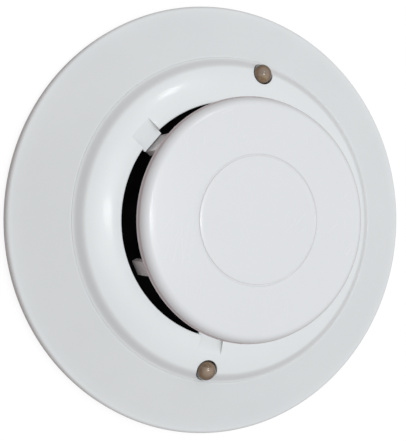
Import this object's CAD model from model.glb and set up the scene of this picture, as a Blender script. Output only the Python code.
"""Looks for the heat detector: moulded white shells, black carrier, smoked lamps and the metal inside."""
import math

import bmesh
import bpy
from mathutils import Matrix, Vector


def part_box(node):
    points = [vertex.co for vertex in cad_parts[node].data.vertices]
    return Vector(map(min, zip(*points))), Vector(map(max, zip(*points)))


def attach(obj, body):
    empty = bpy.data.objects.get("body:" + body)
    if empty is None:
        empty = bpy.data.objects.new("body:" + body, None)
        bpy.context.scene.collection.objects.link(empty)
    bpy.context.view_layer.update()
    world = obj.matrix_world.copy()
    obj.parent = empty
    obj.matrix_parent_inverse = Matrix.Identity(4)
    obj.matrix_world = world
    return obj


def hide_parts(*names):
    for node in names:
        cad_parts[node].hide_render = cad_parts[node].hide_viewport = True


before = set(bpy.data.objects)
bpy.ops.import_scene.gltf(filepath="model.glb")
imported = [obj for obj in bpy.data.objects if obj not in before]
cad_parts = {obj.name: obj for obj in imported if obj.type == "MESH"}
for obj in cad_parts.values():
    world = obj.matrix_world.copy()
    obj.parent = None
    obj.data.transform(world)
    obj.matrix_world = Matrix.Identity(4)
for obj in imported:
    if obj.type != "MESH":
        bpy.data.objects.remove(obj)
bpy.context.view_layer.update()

MM = 0.001
ROUND_STEPS = 192


# ---------------------------------------------------------------- sizes, read from the frame or shared with it

def top(node):
    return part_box(node)[1].z / MM


def bottom(node):
    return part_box(node)[0].z / MM


def reach(node):
    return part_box(node)[1].x / MM


RIM_RADIUS = reach("mounting_base")
RIM_HEIGHT = 4.5
RIM_ROUND = 1.6
BASE_TOP = top("mounting_base")
CONE_TOP_RADIUS = 58.5
CONE_RADII = (75.0, 72.0, 69.0, 66.0, 63.0, 60.0, 58.4)
WELL_RADIUS = 57.70
WELL_EDGE = 0.05
EDGE_MIDDLE = 0.013
FLOOR_TOP = 2.0
WIRE_HOLE_RADIUS = 22.0
SKIN = 2.2
RIB_COUNT = 12
RIB_WIDTH = 1.6
SLOT_START = 29.0
SLOT_END = 45.0
SLOT_WIDTH = 5.0
POST_CIRCLE = 23.5
POST_RADIUS = 1.0
POST_TOP = 3.8
POST_ANGLES = (70.0, 110.0)
TERMINAL_HOLE_RADIUS = 1.9
BAYONET_INNER = 54.2
LEDGE_SPAN = 16.0
LEDGE_HEIGHTS = (10.0, 11.6)
STOP_HEIGHTS = (7.6, 11.4)
STOP_SPANS = ((-1.2, 0.4), (30.6, 32.2))
HEAD_RADIUS = 57.665
SKIRT_BOTTOM = bottom("head_housing")
SLOPE_OUTER = 57.25
SLOPE_INNER = 53.7
DOME_OUTER = 54.2
DOME_OUTER_HEIGHT = 16.8
DOME_INNER = 41.6
DOME_TOP = 18.1
SHELL = 1.7
SKIRT_TOP = 12.8
LIP_BOTTOM = 15.3
CAP_RADIUS = 41.45
CAP_LIP_RADIUS = reach("sensor_cap")
CAP_TOP = 37.05
CAP_CROWN = top("sensor_cap") - CAP_TOP
CAP_BOTTOM = 32.85
CAP_ROUND = 3.3
CAP_SKIN = 2.0
CAP_INNER_ROUND = 1.4
CAP_LIP_ROUND = 0.25
CAP_FACE_RADII = (36.0, 32.0, 28.0, 24.0)
RING_MARK = 21.8
LEG_ANGLES = (30.0, 150.0, 270.0)
CAP_RIB_ANGLES = (96.0, 216.0, 336.0)
LEG_OUTER = 39.4
LEG_THICKNESS = 2.0
LEG_WIDTH = 7.8
CAP_RIB_WIDTH = 5.2
PIN_RADIUS = 1.5
PIN_INSET = 1.7
NOTCH_WIDTH = 8.8
NOTCH_OUTER = 47.2
NOTCH_FLOOR = 15.9
TONGUE_BOTTOM = 15.0
TONGUE_TRIM = 0.02
CARRIER_TOP = 14.7
LAMP_ANGLES = (89.0, 271.0)
LAMP_CIRCLE = 53.4
LAMP_RADIUS = 3.55
LAMP_TOP = top("lamp_lens_1")
LAMP_BOTTOM = bottom("lamp_lens_1")
LAMP_GAP = 0.25
LAMP_DOME_SHARE = 0.9
LAMP_DOME_STEPS = 14
LAMP_NECK = 1.2
LAMP_FOOT_INNER = 48.7
LAMP_FOOT_HALF_WIDTH = 1.6
LAMP_FOOT_HEIGHT = 1.4
CUT_MARGIN = 1.0
TERMINAL_ANGLES = (45.0, 135.0, 225.0, 315.0)
SCREW_CIRCLE = 48.0
BAYONET_ANGLES = (60.0, 180.0, 300.0)


# ---------------------------------------------------------------- mesh tools

def arc(centre, radius, start, end, steps):
    """Points of an arc in an outline, from start to end degrees."""
    turns = [math.radians(start + (end - start) * step / steps) for step in range(steps + 1)]
    return [(centre[0] + radius * math.cos(turn), centre[1] + radius * math.sin(turn)) for turn in turns]


def polar(radius, degrees):
    angle = math.radians(degrees)
    return radius * math.cos(angle), radius * math.sin(angle)


def finish_mesh(name, bm, sharp_degrees=32.0):
    bmesh.ops.recalc_face_normals(bm, faces=bm.faces)
    mesh = bpy.data.meshes.new(name)
    bm.to_mesh(mesh)
    bm.free()
    mesh.shade_smooth()
    mesh.set_sharp_from_angle(angle=math.radians(sharp_degrees))
    item = bpy.data.objects.new(name, mesh)
    bpy.context.scene.collection.objects.link(item)
    return item


def turned(name, outline, steps=ROUND_STEPS, centre=(0.0, 0.0)):
    """Spin (radius, height) points in millimetres about a vertical axis into one closed body."""
    bm = bmesh.new()
    chain = [bm.verts.new((radius * MM, 0.0, height * MM)) for radius, height in outline]
    links = list(zip(chain, chain[1:]))
    if outline[0][0] > 0.0:
        links.append((chain[-1], chain[0]))
    edges = [bm.edges.new(link) for link in links]
    bmesh.ops.spin(bm, geom=chain + edges, axis=(0.0, 0.0, 1.0), cent=(0.0, 0.0, 0.0),
                   angle=math.tau, steps=steps, use_merge=True)
    bmesh.ops.remove_doubles(bm, verts=bm.verts, dist=0.0005 * MM)
    poles = [corner for corner in bm.verts if is_flat_pole(corner)]
    bmesh.ops.dissolve_verts(bm, verts=poles)
    bmesh.ops.translate(bm, verts=bm.verts, vec=(centre[0] * MM, centre[1] * MM, 0.0))
    return finish_mesh(name, bm)


def is_flat_pole(corner):
    """True for a point on the axis whose whole neighbourhood is level."""
    on_axis = math.hypot(corner.co.x, corner.co.y) < 0.0005 * MM
    return on_axis and all(abs(edge.other_vert(corner).co.z - corner.co.z) < 0.0005 * MM
                           for edge in corner.link_edges)


def disc(name, radius, low, high, centre=(0.0, 0.0), steps=32):
    return turned(name, [(0.0, low), (radius, low), (radius, high), (0.0, high)], steps, centre)


def extruded(name, points, shift):
    """Extrude a flat outline of 3-D points, in millimetres, along a shift."""
    bm = bmesh.new()
    face = bm.faces.new([bm.verts.new((x * MM, y * MM, z * MM)) for x, y, z in points])
    lifted = bmesh.ops.extrude_face_region(bm, geom=[face])
    corners = [item for item in lifted["geom"] if isinstance(item, bmesh.types.BMVert)]
    bmesh.ops.translate(bm, verts=corners, vec=[part * MM for part in shift])
    return finish_mesh(name, bm)


def prism(name, outline, low, high):
    return extruded(name, [(x, y, low) for x, y in outline], (0.0, 0.0, high - low))


def side_prism(name, outline, width):
    return extruded(name, [(radius, -width / 2.0, height) for radius, height in outline], (0.0, width, 0.0))


def block(name, x_range, y_range, z_range):
    corners = [(x_range[0], y_range[0]), (x_range[1], y_range[0]), (x_range[1], y_range[1]), (x_range[0], y_range[1])]
    return prism(name, corners, *z_range)


def sector(name, inner, outer, start, end, low, high):
    count = max(2, int(abs(end - start) / 1.875))
    turns = [start + (end - start) * step / count for step in range(count + 1)]
    outline = [polar(outer, turn) for turn in turns] + [polar(inner, turn) for turn in reversed(turns)]
    return prism(name, outline, low, high)


def slot_bar(name, start, end, width, low, high):
    half = width / 2.0
    right = [(end + x, y) for x, y in arc((0.0, 0.0), half, -90.0, 90.0, 14)]
    left = [(start + x, y) for x, y in arc((0.0, 0.0), half, 90.0, 270.0, 14)]
    return prism(name, right + left, low, high)


def turn_mesh(item, degrees):
    item.data.transform(Matrix.Rotation(math.radians(degrees), 4, "Z"))
    return item


def combine(target, tools, operation):
    """Apply exact Booleans to target's mesh and remove the tools."""
    for tool in tools:
        modifier = target.modifiers.new(operation, "BOOLEAN")
        modifier.operation = operation
        modifier.solver = "EXACT"
        modifier.object = tool
    apply_modifiers(target)
    for tool in tools:
        bpy.data.objects.remove(tool, do_unlink=True)
    return target


def apply_modifiers(item):
    graph = bpy.context.evaluated_depsgraph_get()
    item.data = bpy.data.meshes.new_from_object(item.evaluated_get(graph))
    item.modifiers.clear()
    return item


def soften(item, width, degrees=40.0, segments=2):
    """Round the hard edges a little, so that they catch the light as moulded edges do."""
    bevel = item.modifiers.new("soft_edges", "BEVEL")
    bevel.width = width * MM
    bevel.segments = segments
    bevel.limit_method = "ANGLE"
    bevel.angle_limit = math.radians(degrees)
    bevel.harden_normals = False
    bevel.use_clamp_overlap = True
    apply_modifiers(item)
    item.data.shade_smooth()
    item.data.set_sharp_from_angle(angle=math.radians(50.0))
    return item


# ---------------------------------------------------------------- materials

class NodeTree:
    """A small helper that builds a node tree, node by node."""

    def __init__(self, tree):
        self.tree = tree

    def add(self, kind, **settings):
        node = self.tree.nodes.new(kind)
        for key, value in settings.items():
            setattr(node, key, value)
        return node

    def put(self, node, socket, value):
        """Link a socket to another node's output, or set its value."""
        target = node.inputs[socket]
        if isinstance(value, bpy.types.NodeSocket):
            self.tree.links.new(value, target)
        elif hasattr(target.default_value, "__len__") and not hasattr(value, "__len__"):
            target.default_value = [value] * len(target.default_value)
        elif hasattr(value, "__len__") and len(target.default_value) == 4 and len(value) == 3:
            target.default_value = (*value, 1.0)
        else:
            target.default_value = value

    def span(self, value, low, high, out_low=0.0, out_high=1.0):
        node = self.add("ShaderNodeMapRange", interpolation_type="SMOOTHSTEP")
        self.put(node, "Value", value)
        self.put(node, "From Min", low)
        self.put(node, "From Max", high)
        self.put(node, "To Min", out_low)
        self.put(node, "To Max", out_high)
        return node.outputs["Result"]

    def sum(self, kind, first, second):
        node = self.add("ShaderNodeMath", operation=kind)
        self.put(node, 0, first)
        self.put(node, 1, second)
        return node.outputs["Value"]

    def mix(self, share, first, second):
        node = self.add("ShaderNodeMix", data_type="RGBA")
        self.put(node, 0, share)
        self.put(node, 6, first)
        self.put(node, 7, second)
        return node.outputs[2]


class Nodes(NodeTree):
    """One Principled material and its patterns, which are placed on the object."""

    def __init__(self, name):
        self.material = bpy.data.materials.new(name)
        self.material.use_nodes = True
        super().__init__(self.material.node_tree)
        self.shader = self.tree.nodes["Principled BSDF"]
        self.place = self.add("ShaderNodeTexCoord").outputs["Object"]

    def noise(self, scale, detail=3.0, roughness=0.55, stretch=None):
        node = self.add("ShaderNodeTexNoise")
        self.put(node, "Vector", self.stretched(stretch) if stretch else self.place)
        self.put(node, "Scale", scale)
        self.put(node, "Detail", detail)
        self.put(node, "Roughness", roughness)
        return node.outputs["Fac"]

    def stretched(self, scale, turn=(0.0, 0.0, 0.0)):
        node = self.add("ShaderNodeMapping")
        self.put(node, "Vector", self.place)
        self.put(node, "Scale", scale)
        self.put(node, "Rotation", turn)
        return node.outputs["Vector"]

    def scratches(self, scale, width, turn, amount):
        """Sparse fine lines: the thin borders of long stretched cells, seen only in a few patches."""
        cells = self.add("ShaderNodeTexVoronoi", feature="DISTANCE_TO_EDGE")
        self.put(cells, "Vector", self.stretched((1.0, 0.12, 1.0), (0.0, 0.0, math.radians(turn))))
        self.put(cells, "Scale", scale)
        line = self.span(cells.outputs["Distance"], 0.0, width, 1.0, 0.0)
        patch = self.span(self.noise(70.0, 1.0), 1.0 - amount, 1.0 - amount + 0.06)
        return self.sum("MULTIPLY", line, patch)

    def crevice(self, distance):
        node = self.add("ShaderNodeAmbientOcclusion", samples=4)
        self.put(node, "Distance", distance * MM)
        return self.span(node.outputs["AO"], 0.35, 0.95, 1.0, 0.0)

    def bump(self, height, strength, distance, after=None):
        node = self.add("ShaderNodeBump")
        self.put(node, "Height", height)
        self.put(node, "Strength", strength)
        self.put(node, "Distance", distance * MM)
        if after is not None:
            self.put(node, "Normal", after)
        return node.outputs["Normal"]

    def finish(self, **sockets):
        for name, value in sockets.items():
            self.put(self.shader, name.replace("_", " "), value)
        return self.material


GRIME = (0.46, 0.44, 0.40)
CAP_WALL_TINT = (0.47, 0.41, 0.42)
CAP_LEG_TINT = (0.68, 0.63, 0.63)


def moulded_plastic(name, colour, shade, roughness, warm_below=None):
    """Gloss moulded plastic: faint flow marks, fine grain, hairline scratches, dust in the corners.

    Below the height warm_below (mm) it turns warmer and darker, as the wall and the legs under the cap's face look.
    """
    n = Nodes(name)
    flow = n.noise(38.0, 4.0)
    base = n.mix(n.span(flow, 0.30, 0.72), colour, shade)
    if warm_below is not None:
        high = n.add("ShaderNodeSeparateXYZ")
        n.put(high, "Vector", n.place)
        warmth = n.span(high.outputs["Z"], (warm_below - 1.0) * MM, warm_below * MM, 1.0, 0.0)
        base = n.mix(warmth, base, CAP_WALL_TINT)
        legs = n.span(high.outputs["Z"], (warm_below - 3.0) * MM, (warm_below - 2.4) * MM, 1.0, 0.0)
        base = n.mix(legs, base, CAP_LEG_TINT)
    speck = n.span(n.noise(900.0, 2.0), 0.74, 0.80)
    base = n.mix(n.sum("MULTIPLY", speck, 0.04), base, GRIME)
    base = n.mix(n.sum("MULTIPLY", n.crevice(2.5), 0.22), base, GRIME)
    marks = n.sum("ADD", n.scratches(260.0, 0.012, 25.0, 0.42), n.scratches(330.0, 0.010, 118.0, 0.40))
    gloss = n.span(n.noise(210.0, 3.0), 0.25, 0.75, roughness - 0.008, roughness + 0.012)
    gloss = n.sum("ADD", gloss, n.sum("MULTIPLY", marks, 0.03))
    normal = n.bump(n.noise(2600.0, 2.0), 0.05, 0.05)
    normal = n.bump(n.noise(95.0, 2.0), 0.05, 0.03, normal)
    normal = n.bump(marks, 0.03, 0.01, normal)
    return n.finish(Base_Color=base, Roughness=gloss, Normal=normal, IOR=1.5,
                    Coat_Weight=0.20, Coat_Roughness=0.10,
                    Subsurface_Weight=0.06, Subsurface_Radius=(0.8, 0.8, 0.75), Subsurface_Scale=1.0 * MM)


def matt_black(name):
    n = Nodes(name)
    base = n.mix(n.span(n.noise(120.0, 3.0), 0.3, 0.7), (0.0008, 0.0008, 0.0008), (0.002, 0.002, 0.002))
    dust = n.span(n.noise(1500.0, 2.0), 0.68, 0.74)
    base = n.mix(n.sum("MULTIPLY", dust, 0.06), base, (0.05, 0.05, 0.045))
    gloss = n.span(n.noise(300.0, 2.0), 0.3, 0.7, 0.55, 0.72)
    return n.finish(Base_Color=base, Roughness=gloss, Specular_IOR_Level=0.0,
                    Normal=n.bump(n.noise(1900.0, 2.0), 0.25, 0.08))


def metal(name, colour, shade, roughness, turn=(1.0, 14.0, 1.0)):
    """Plated or drawn metal with a brushed direction, stains and small pits."""
    n = Nodes(name)
    base = n.mix(n.span(n.noise(160.0, 4.0), 0.3, 0.75), colour, shade)
    brush = n.noise(900.0, 2.0, 0.6, turn)
    gloss = n.span(brush, 0.2, 0.8, roughness - 0.08, roughness + 0.14)
    normal = n.bump(brush, 0.12, 0.02)
    pits = n.span(n.noise(2200.0, 1.0), 0.70, 0.78)
    return n.finish(Base_Color=n.mix(n.sum("MULTIPLY", pits, 0.4), base, (0.12, 0.10, 0.08)), Metallic=1.0,
                    Roughness=gloss, Normal=normal)


def resin(name, colour, shade, roughness):
    n = Nodes(name)
    base = n.mix(n.span(n.noise(220.0, 3.0), 0.3, 0.7), colour, shade)
    gloss = n.span(n.noise(500.0, 2.0), 0.3, 0.7, roughness - 0.06, roughness + 0.08)
    return n.finish(Base_Color=base, Roughness=gloss, Normal=n.bump(n.noise(2400.0, 3.0), 0.2, 0.05))


def board_mask(name):
    """Green solder mask with faint raised tracks and tinned pads."""
    n = Nodes(name)
    tracks = n.add("ShaderNodeTexBrick", offset=0.37, squash=1.0)
    n.put(tracks, "Vector", n.place)
    n.put(tracks, "Scale", 180.0)
    n.put(tracks, "Mortar Size", 0.06)
    line = n.span(tracks.outputs["Fac"], 0.2, 0.8)
    pads = n.add("ShaderNodeTexVoronoi", feature="F1")
    n.put(pads, "Vector", n.place)
    n.put(pads, "Scale", 240.0)
    pad = n.span(pads.outputs["Distance"], 0.16, 0.20, 1.0, 0.0)
    base = n.mix(n.span(n.noise(90.0, 3.0), 0.3, 0.7), (0.010, 0.115, 0.045), (0.016, 0.150, 0.060))
    base = n.mix(n.sum("MULTIPLY", line, 0.5), base, (0.030, 0.240, 0.095))
    base = n.mix(pad, base, (0.62, 0.60, 0.56))
    normal = n.bump(n.sum("ADD", line, pad), 0.35, 0.05)
    return n.finish(Base_Color=base, Roughness=n.span(pad, 0.0, 1.0, 0.32, 0.22),
                    Metallic=n.sum("MULTIPLY", pad, 0.9), Normal=normal)


def smoked_window(name):
    """Smoked brown light pipe: dark at its edge, amber where it looks down on the lamp."""
    n = Nodes(name)
    edge = n.add("ShaderNodeLayerWeight")
    n.put(edge, "Blend", 0.42)
    facing = edge.outputs["Facing"]
    swirl = n.noise(420.0, 3.0)
    heart = n.mix(n.span(swirl, 0.35, 0.68), (0.240, 0.160, 0.090), (0.165, 0.112, 0.072))
    base = n.mix(n.span(facing, 0.08, 0.85), heart, (0.020, 0.014, 0.011))
    return n.finish(Base_Color=base, Roughness=n.span(n.noise(500.0, 2.0), 0.3, 0.7, 0.14, 0.24),
                    Coat_Weight=1.0, Coat_Roughness=0.10, Coat_IOR=1.8, IOR=1.5, Specular_IOR_Level=0.15,
                    Normal=n.bump(n.noise(380.0, 2.0), 0.08, 0.06))


def glass_tube(name):
    n = Nodes(name)
    base = n.mix(n.span(n.noise(300.0, 2.0), 0.3, 0.7), (0.55, 0.66, 0.58), (0.66, 0.74, 0.68))
    return n.finish(Base_Color=base, Roughness=n.span(n.noise(700.0, 2.0), 0.3, 0.7, 0.04, 0.12),
                    Transmission_Weight=0.7, IOR=1.5, Normal=n.bump(n.noise(900.0, 2.0), 0.1, 0.03))


def paper(name):
    """The pale studio floor. Only the camera sees it, and only from above; all other light passes through it."""
    n = Nodes(name)
    base = n.mix(n.span(n.noise(9.0, 4.0), 0.3, 0.7), (0.17, 0.17, 0.17), (0.19, 0.19, 0.19))
    n.finish(Base_Color=base, Roughness=0.9, Specular_IOR_Level=0.1, Emission_Color=(1.0, 1.0, 1.0),
             Emission_Strength=0.83, Normal=n.bump(n.noise(700.0, 3.0), 0.05, 0.1))
    clear = n.add("ShaderNodeBsdfTransparent")
    back = n.add("ShaderNodeNewGeometry").outputs["Backfacing"]
    unseen = n.sum("SUBTRACT", 1.0, n.add("ShaderNodeLightPath").outputs["Is Camera Ray"])
    blend = n.add("ShaderNodeMixShader")
    n.put(blend, 0, n.sum("MAXIMUM", back, unseen))
    n.tree.links.new(n.shader.outputs["BSDF"], blend.inputs[1])
    n.tree.links.new(clear.outputs["BSDF"], blend.inputs[2])
    n.tree.links.new(blend.outputs["Shader"], n.tree.nodes["Material Output"].inputs["Surface"])
    return n.material


WHITE = moulded_plastic("white_moulding", (0.692, 0.719, 0.727), (0.678, 0.705, 0.714), 0.32)
CAP_WHITE = moulded_plastic("cap_moulding", (0.674, 0.692, 0.708), (0.669, 0.687, 0.703), 0.26, warm_below=35.3)
BLACK = matt_black("black_moulding")
SMOKED = smoked_window("smoked_window")
BRASS = metal("spring_brass", (0.72, 0.53, 0.24), (0.60, 0.42, 0.18), 0.28)
NICKEL = metal("nickel_plate", (0.66, 0.64, 0.60), (0.55, 0.54, 0.51), 0.26)
STEEL = metal("zinc_plate", (0.58, 0.59, 0.61), (0.46, 0.47, 0.49), 0.32, (1.0, 1.0, 10.0))
DARK_RESIN = resin("dark_resin", (0.016, 0.016, 0.018), (0.030, 0.030, 0.032), 0.45)
PALE_RESIN = resin("pale_resin", (0.72, 0.70, 0.62), (0.64, 0.61, 0.53), 0.40)
BOARD = board_mask("solder_mask")
GLASS = glass_tube("clear_glass")


def dress(item, body, material, slot_name, *nodes):
    """Give a new piece its material, its body and the CAD nodes it stands for."""
    item.data.materials.clear()
    item.data.materials.append(material)
    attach(item, body)
    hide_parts(*nodes)
    return item


# ---------------------------------------------------------------- the white base

def cone_slope():
    return (BASE_TOP - 0.2 - RIM_HEIGHT) / (RIM_RADIUS - RIM_ROUND - CONE_TOP_RADIUS)


def cone_height(radius):
    return RIM_HEIGHT + cone_slope() * (RIM_RADIUS - RIM_ROUND - radius)


def cone_underside(radius):
    return cone_height(radius) - SKIN * math.hypot(1.0, cone_slope())


def make_base():
    slope_degrees = math.degrees(math.atan(cone_slope()))
    well_outer = WELL_RADIUS + SKIN
    rim_inner = RIM_RADIUS - SKIN
    outline = arc((RIM_RADIUS - 0.3, 0.3), 0.3, -90.0, 0.0, 3)
    outline += arc((RIM_RADIUS - RIM_ROUND, RIM_HEIGHT - RIM_ROUND), RIM_ROUND, 0.0, 90.0 - slope_degrees * 0.5, 9)
    outline += [(radius, cone_height(radius)) for radius in CONE_RADII]
    edge = cone_height(WELL_RADIUS + WELL_EDGE)
    outline += [(WELL_RADIUS + WELL_EDGE, edge), (WELL_RADIUS + EDGE_MIDDLE, edge - EDGE_MIDDLE),
                (WELL_RADIUS, edge - WELL_EDGE)]
    outline += [(WELL_RADIUS, BASE_TOP - 1.2), (WELL_RADIUS, FLOOR_TOP + 0.8)]
    outline += arc((WELL_RADIUS - 0.8, FLOOR_TOP + 0.8), 0.8, 0.0, -90.0, 4)
    outline += arc((WIRE_HOLE_RADIUS + 0.4, FLOOR_TOP - 0.4), 0.4, 90.0, 180.0, 3)
    outline += arc((WIRE_HOLE_RADIUS + 0.3, 0.3), 0.3, 180.0, 270.0, 3)
    outline += [(well_outer - 0.3, 0.0), (well_outer, 0.3), (well_outer, cone_underside(well_outer) - 0.6),
                (well_outer + 0.6, cone_underside(well_outer + 0.6)),
                (rim_inner - 0.6, cone_underside(rim_inner - 0.6)),
                (rim_inner, cone_underside(rim_inner) - 0.4), (rim_inner, 0.3), (rim_inner + 0.3, 0.0)]
    base = turned("base_shell", outline)
    mid = SKIN / 2.0
    rib = [(well_outer - mid, 0.8), (rim_inner + mid, 0.8), (rim_inner + mid, cone_underside(rim_inner) + mid),
           (well_outer - mid, cone_underside(well_outer) + mid)]
    rib_step = 360.0 / RIB_COUNT
    adds = [turn_mesh(side_prism("rib", rib, RIB_WIDTH), rib_step * (k + 0.5)) for k in range(RIB_COUNT)]
    wall = WELL_RADIUS + mid
    adds += [disc("post", POST_RADIUS, FLOOR_TOP / 2.0, POST_TOP, polar(POST_CIRCLE, angle), 24)
             for angle in POST_ANGLES]
    for angle in BAYONET_ANGLES:
        adds.append(sector("ledge", BAYONET_INNER, wall, angle, angle + LEDGE_SPAN, *LEDGE_HEIGHTS))
        for start, end in STOP_SPANS:
            adds.append(sector("stop", BAYONET_INNER, wall, angle + start, angle + end, *STOP_HEIGHTS))
    combine(base, adds, "UNION")
    depth = (-CUT_MARGIN, FLOOR_TOP + CUT_MARGIN)
    cuts = [turn_mesh(slot_bar("slot", SLOT_START, SLOT_END, SLOT_WIDTH, *depth), 90.0 * k) for k in range(4)]
    cuts += [disc("hole", TERMINAL_HOLE_RADIUS, *depth, polar(SCREW_CIRCLE, angle), 24) for angle in TERMINAL_ANGLES]
    combine(base, cuts, "DIFFERENCE")
    return dress(soften(base, 0.12), "base", WHITE, "white_plastic", "mounting_base")


# ---------------------------------------------------------------- the head's white shell

def dome_height(radius):
    """Outer surface of the head between the chamfer and the lip: a gentle rise with a slight crown."""
    share = (DOME_OUTER - radius) / (DOME_OUTER - DOME_INNER)
    rise = DOME_TOP - DOME_OUTER_HEIGHT
    return DOME_OUTER_HEIGHT + rise * share + 1.6 * share * (1.0 - share) * rise


def shoulder_height(radius):
    """The S-shaped slope from the line of the flange up to the dome."""
    share = min(max((SLOPE_OUTER - radius) / (SLOPE_OUTER - SLOPE_INNER), 0.0), 1.0)
    blend = share * share * (3.0 - 2.0 * share)
    return cone_height(radius) * (1.0 - blend) + dome_height(radius) * blend


def make_head_shell():
    count = 14
    start, end = SLOPE_INNER - 0.5, DOME_INNER + 1.3
    radii = [start + (end - start) * k / count for k in range(count + 1)]
    crown = [(radius, dome_height(radius)) for radius in radii]
    edge = shoulder_height(HEAD_RADIUS - WELL_EDGE)
    outline = [(HEAD_RADIUS, SKIRT_BOTTOM + 0.2), (HEAD_RADIUS, edge - WELL_EDGE),
               (HEAD_RADIUS - EDGE_MIDDLE, edge - EDGE_MIDDLE)]
    slope_steps = 16
    slope_start = HEAD_RADIUS - WELL_EDGE
    radii = [slope_start + (SLOPE_INNER - slope_start) * k / slope_steps for k in range(slope_steps + 1)]
    outline += [(radius, shoulder_height(radius)) for radius in radii]
    outline += crown
    outline += arc((DOME_INNER + 0.6, dome_height(DOME_INNER + 0.6) - 0.6), 0.6, 90.0, 180.0, 5)
    outline += [(DOME_INNER, LIP_BOTTOM + 0.3), (DOME_INNER + 0.3, LIP_BOTTOM), (DOME_INNER + SHELL, LIP_BOTTOM),
                (DOME_INNER + SHELL, dome_height(DOME_INNER + SHELL) - SHELL),
                (DOME_OUTER - 1.0, dome_height(DOME_OUTER - 1.0) - SHELL),
                (HEAD_RADIUS - SHELL, SKIRT_TOP), (HEAD_RADIUS - SHELL, SKIRT_BOTTOM),
                (HEAD_RADIUS - 0.2, SKIRT_BOTTOM)]
    shell = turned("head_shell", outline)
    tip = LEG_OUTER + 0.3
    tongue = [(tip, TONGUE_BOTTOM), (NOTCH_OUTER + 0.8, TONGUE_BOTTOM),
              (NOTCH_OUTER + 0.8, dome_height(NOTCH_OUTER) - 0.6),
              (DOME_INNER, NOTCH_FLOOR + 1.0), (tip, NOTCH_FLOOR + 1.0)]
    notch = [(tip - 1.0, NOTCH_FLOOR - 0.25), (NOTCH_OUTER, dome_height(NOTCH_OUTER)),
             (NOTCH_OUTER, DOME_TOP + 3.0), (tip - 1.0, DOME_TOP + 3.0)]
    adds = [turn_mesh(side_prism("tongue", tongue, NOTCH_WIDTH - TONGUE_TRIM), angle) for angle in LEG_ANGLES]
    combine(shell, adds, "UNION")
    cuts = [turn_mesh(side_prism("notch", notch, NOTCH_WIDTH), angle) for angle in LEG_ANGLES]
    cuts += [disc("lamp_hole", LAMP_RADIUS + LAMP_GAP, SKIRT_BOTTOM + 0.6, LAMP_TOP + 2.0,
                  polar(LAMP_CIRCLE, angle), 40) for angle in LAMP_ANGLES]
    combine(shell, cuts, "DIFFERENCE")
    return dress(soften(shell, 0.14), "head", WHITE, "white_plastic", "head_housing")


# ---------------------------------------------------------------- the cap on its legs

def make_cap():
    crown = CAP_TOP + CAP_CROWN
    inner_wall = CAP_RADIUS - CAP_SKIN
    ceiling = CAP_TOP - CAP_SKIN
    corner = inner_wall - CAP_INNER_ROUND
    outline = [(0.0, ceiling), (corner, ceiling)]
    outline += arc((corner, ceiling - CAP_INNER_ROUND), CAP_INNER_ROUND, 90.0, 0.0, 5)
    outline += [(inner_wall, CAP_BOTTOM + 0.2), (inner_wall + 0.2, CAP_BOTTOM)]
    lip = CAP_LIP_RADIUS - CAP_LIP_ROUND
    outline += arc((lip, CAP_BOTTOM + CAP_LIP_ROUND), CAP_LIP_ROUND, -90.0, 0.0, 3)
    outline += arc((lip, CAP_BOTTOM + CAP_LIP_ROUND + 0.2), CAP_LIP_ROUND, 0.0, 80.0, 3)
    outline += arc((CAP_RADIUS - CAP_ROUND, CAP_TOP - CAP_ROUND), CAP_ROUND, 4.0, 88.0, 14)
    slope = CAP_CROWN / (CAP_RADIUS - CAP_ROUND - RING_MARK)
    outline += [(radius, CAP_TOP + slope * (CAP_RADIUS - CAP_ROUND - radius)) for radius in CAP_FACE_RADII]
    outline += [(RING_MARK + 0.55, crown), (RING_MARK + 0.38, crown - 0.03), (RING_MARK + 0.22, crown - 0.26),
                (RING_MARK - 0.18, crown - 0.30), (RING_MARK - 0.34, crown - 0.06), (RING_MARK - 0.5, crown - 0.02),
                (RING_MARK - 2.0, crown - 0.01), (12.0, crown), (4.0, crown), (0.0, crown)]
    cap = turned("cap_shell", outline)
    foot = CARRIER_TOP + 0.3
    inner = LEG_OUTER - LEG_THICKNESS
    flush = CAP_LIP_RADIUS - 0.12
    leg = [(inner, foot), (LEG_OUTER, foot), (LEG_OUTER, CAP_BOTTOM - 6.0), (LEG_OUTER + 0.25, CAP_BOTTOM - 4.0),
           (LEG_OUTER + 0.8, CAP_BOTTOM - 2.2), (flush - 0.3, CAP_BOTTOM - 0.9), (flush, CAP_BOTTOM + 0.1),
           (flush, CAP_BOTTOM + 0.9), (inner, ceiling + CAP_SKIN / 2.0)]
    adds = [turn_mesh(side_prism("leg", leg, LEG_WIDTH), angle) for angle in LEG_ANGLES]
    adds += [turn_mesh(side_prism("rib", leg, CAP_RIB_WIDTH), angle) for angle in CAP_RIB_ANGLES]
    adds += [disc("pin", PIN_RADIUS, bottom("sensor_cap"), foot + 1.0, polar(LEG_OUTER - PIN_INSET, angle), 24)
             for angle in LEG_ANGLES]
    combine(cap, adds, "UNION")
    soften(cap, 0.10, 55.0)
    # no shadow of the cap is seen on the dome, so the cap is left out of shadow and diffuse rays
    cap.visible_shadow = False
    cap.visible_diffuse = False
    return dress(cap, "head", CAP_WHITE, "cap_plastic", "sensor_cap")


# ---------------------------------------------------------------- lamps

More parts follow.
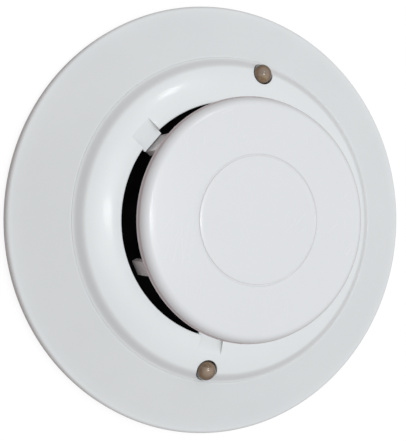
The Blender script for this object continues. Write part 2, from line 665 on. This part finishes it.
def make_lamp(index, angle):
    low = LAMP_BOTTOM
    neck = LAMP_RADIUS - LAMP_NECK
    dome = LAMP_RADIUS * LAMP_DOME_SHARE
    outline = [(0.0, low), (neck, low), (neck, low + 0.8), (LAMP_RADIUS, low + 2.0)]
    turns = [math.radians(90.0 * k / LAMP_DOME_STEPS) for k in range(LAMP_DOME_STEPS)]
    outline += [(LAMP_RADIUS * math.cos(turn), LAMP_TOP - dome + dome * math.sin(turn)) for turn in turns]
    outline += [(0.0, LAMP_TOP)]
    lamp = turned("lamp_window_%d" % index, outline, 48, (LAMP_CIRCLE, 0.0))
    foot = block("foot", (LAMP_FOOT_INNER, LAMP_CIRCLE), (-LAMP_FOOT_HALF_WIDTH, LAMP_FOOT_HALF_WIDTH),
                 (low, low + LAMP_FOOT_HEIGHT))
    combine(lamp, [foot], "UNION")
    turn_mesh(lamp, angle)
    return dress(lamp, "head", SMOKED, "smoked_lens", "lamp_lens_%d" % index)


# ---------------------------------------------------------------- nodes that stay

def dress_node(node, material, edge):
    """Give a CAD node its finish, and soften its edges without changing its mesh."""
    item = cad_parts[node]
    item.data.materials.clear()
    item.data.materials.append(material)
    item.data.shade_smooth()
    item.data.set_sharp_from_angle(angle=math.radians(35.0))
    if edge:
        weld = item.modifiers.new("weld", "WELD")
        weld.merge_threshold = 0.002 * MM
        bevel = item.modifiers.new("soft_edges", "BEVEL")
        bevel.width = edge * MM
        bevel.segments = 2
        bevel.limit_method = "ANGLE"
        bevel.angle_limit = math.radians(50.0)
    return item


def numbered(stem, count):
    return tuple("%s_%d" % (stem, index) for index in range(1, count + 1))


# material, softened edge in millimetres, CAD nodes
FINISHES = (
    (BLACK, 0.15, ("sensor_carrier",)),
    (WHITE, 0.12, ("head_backplate",)),
    (BOARD, 0.0, ("main_pcb",)),
    (GLASS, 0.0, ("reed_switch",)),
    (BRASS, 0.08, ("shorting_spring", *numbered("terminal_contact", 4))),
    (DARK_RESIN, 0.0, numbered("thermistor", 2)),
    (DARK_RESIN, 0.1, ("controller_chip", "bridge_rectifier", *numbered("address_switch", 2))),
    (PALE_RESIN, 0.06, ("address_dial_tens", "address_dial_ones")),
    (PALE_RESIN, 0.1, numbered("indicator_led", 2)),
    (PALE_RESIN, 0.15, numbered("capacitor", 2)),
    (STEEL, 0.06, numbered("backplate_screw", 3)),
    (STEEL, 0.08, numbered("terminal_screw", 4)),
    (NICKEL, 0.1, numbered("terminal_clamp", 4)),
    (NICKEL, 0.08, numbered("plug_blade", 4)),
)


def dress_nodes():
    for material, edge, nodes in FINISHES:
        for node in nodes:
            dress_node(node, material, edge)


# ---------------------------------------------------------------- studio

CAMERA_TARGET = Vector((-0.01254, -0.00273, 0.020))
CAMERA_DISTANCE = 0.34415
CAMERA_AZIMUTH = -168.74
CAMERA_ELEVATION = 66.675
CAMERA_ROLL = 90.494
FOCAL_PIXELS = 1000.0
FRAME_PIXELS = 441.0
SENSOR_WIDTH = 36.0
SKY_AXIS = (0.20, 0.05, 0.98)
FLOOR_HALF_SIZE = 20.0
FLOOR_DROP = 0.0004


def make_camera():
    azimuth = math.radians(CAMERA_AZIMUTH)
    elevation = math.radians(CAMERA_ELEVATION)
    away = Vector((math.cos(elevation) * math.cos(azimuth), math.cos(elevation) * math.sin(azimuth),
                   math.sin(elevation)))
    data = bpy.data.cameras.new("camera")
    data.sensor_width = SENSOR_WIDTH
    data.lens = FOCAL_PIXELS / FRAME_PIXELS * SENSOR_WIDTH
    data.clip_start = 0.01
    camera = bpy.data.objects.new("camera", data)
    bpy.context.scene.collection.objects.link(camera)
    level = away.to_track_quat("Z", "Y").to_matrix().to_4x4()
    roll = Matrix.Rotation(math.radians(CAMERA_ROLL), 4, "Z")
    camera.matrix_world = Matrix.Translation(CAMERA_TARGET + away * CAMERA_DISTANCE) @ level @ roll
    bpy.context.scene.camera = camera


def area_light(name, direction, distance, width, height, power, in_reflections=True):
    """An elliptical soft light that faces the origin, its width along X."""
    data = bpy.data.lights.new(name, "AREA")
    data.shape = "ELLIPSE"
    data.size = width
    data.size_y = height
    data.energy = power
    light = bpy.data.objects.new(name, data)
    away = Vector(direction).normalized()
    up = away.cross(Vector((1.0, 0.0, 0.0))).normalized()
    along = up.cross(away)
    turn = Matrix((along, up, away)).transposed().to_4x4()
    light.matrix_world = Matrix.Translation(away * distance) @ turn
    light.visible_glossy = in_reflections
    bpy.context.scene.collection.objects.link(light)


def make_studio():
    bm = bmesh.new()
    bmesh.ops.create_grid(bm, x_segments=2, y_segments=2, size=FLOOR_HALF_SIZE)
    bmesh.ops.translate(bm, verts=bm.verts, vec=(0.0, 0.0, -FLOOR_DROP))
    floor = finish_mesh("floor", bm)
    if floor.data.polygons[0].normal.z < 0.0:
        floor.data.flip_normals()
    floor.data.materials.append(paper("studio_floor"))
    make_world()
    area_light("front_soft", (0.050, 0.030, 1.0), 1.1, 0.58, 0.58, 1.66, in_reflections=False)
    area_light("front_core", (0.130, 0.040, 1.0), 1.1, 0.24, 0.07, 0.72)
    area_light("front_band", (-0.020, 0.020, 1.0), 1.1, 0.30, 0.44, 0.36)
    area_light("upper_spot", (0.101, 0.446, 0.889), 1.0, 0.09, 0.09, 0.50)
    bpy.context.scene.view_settings.view_transform = "Standard"


def make_world():
    """Soft white from the front and a little from the right, dim and warm at the horizon, white to the camera."""
    world = bpy.data.worlds.new("studio_world")
    world.use_nodes = True
    tree = world.node_tree
    sky = NodeTree(tree)
    where = sky.add("ShaderNodeTexCoord").outputs["Generated"]
    along = sky.add("ShaderNodeVectorMath", operation="DOT_PRODUCT")
    sky.put(along, 0, where)
    along.inputs[1].default_value = SKY_AXIS
    high = sky.add("ShaderNodeSeparateXYZ")
    sky.put(high, "Vector", where)
    light = sky.mix(sky.span(along.outputs["Value"], 0.0, 0.80), (0.247, 0.200, 0.195), (0.931, 0.940, 0.950))
    light = sky.mix(sky.span(high.outputs["Z"], -0.25, -0.02), (0.40, 0.36, 0.35), light)
    light = sky.mix(sky.add("ShaderNodeLightPath").outputs["Is Camera Ray"], light, (1.0, 1.0, 1.0))
    sky.put(tree.nodes["Background"], "Color", light)
    bpy.context.scene.world = world


make_base()
make_head_shell()
make_cap()
for lamp_index, lamp_angle in enumerate(LAMP_ANGLES, 1):
    make_lamp(lamp_index, lamp_angle)
dress_nodes()
make_camera()
make_studio()
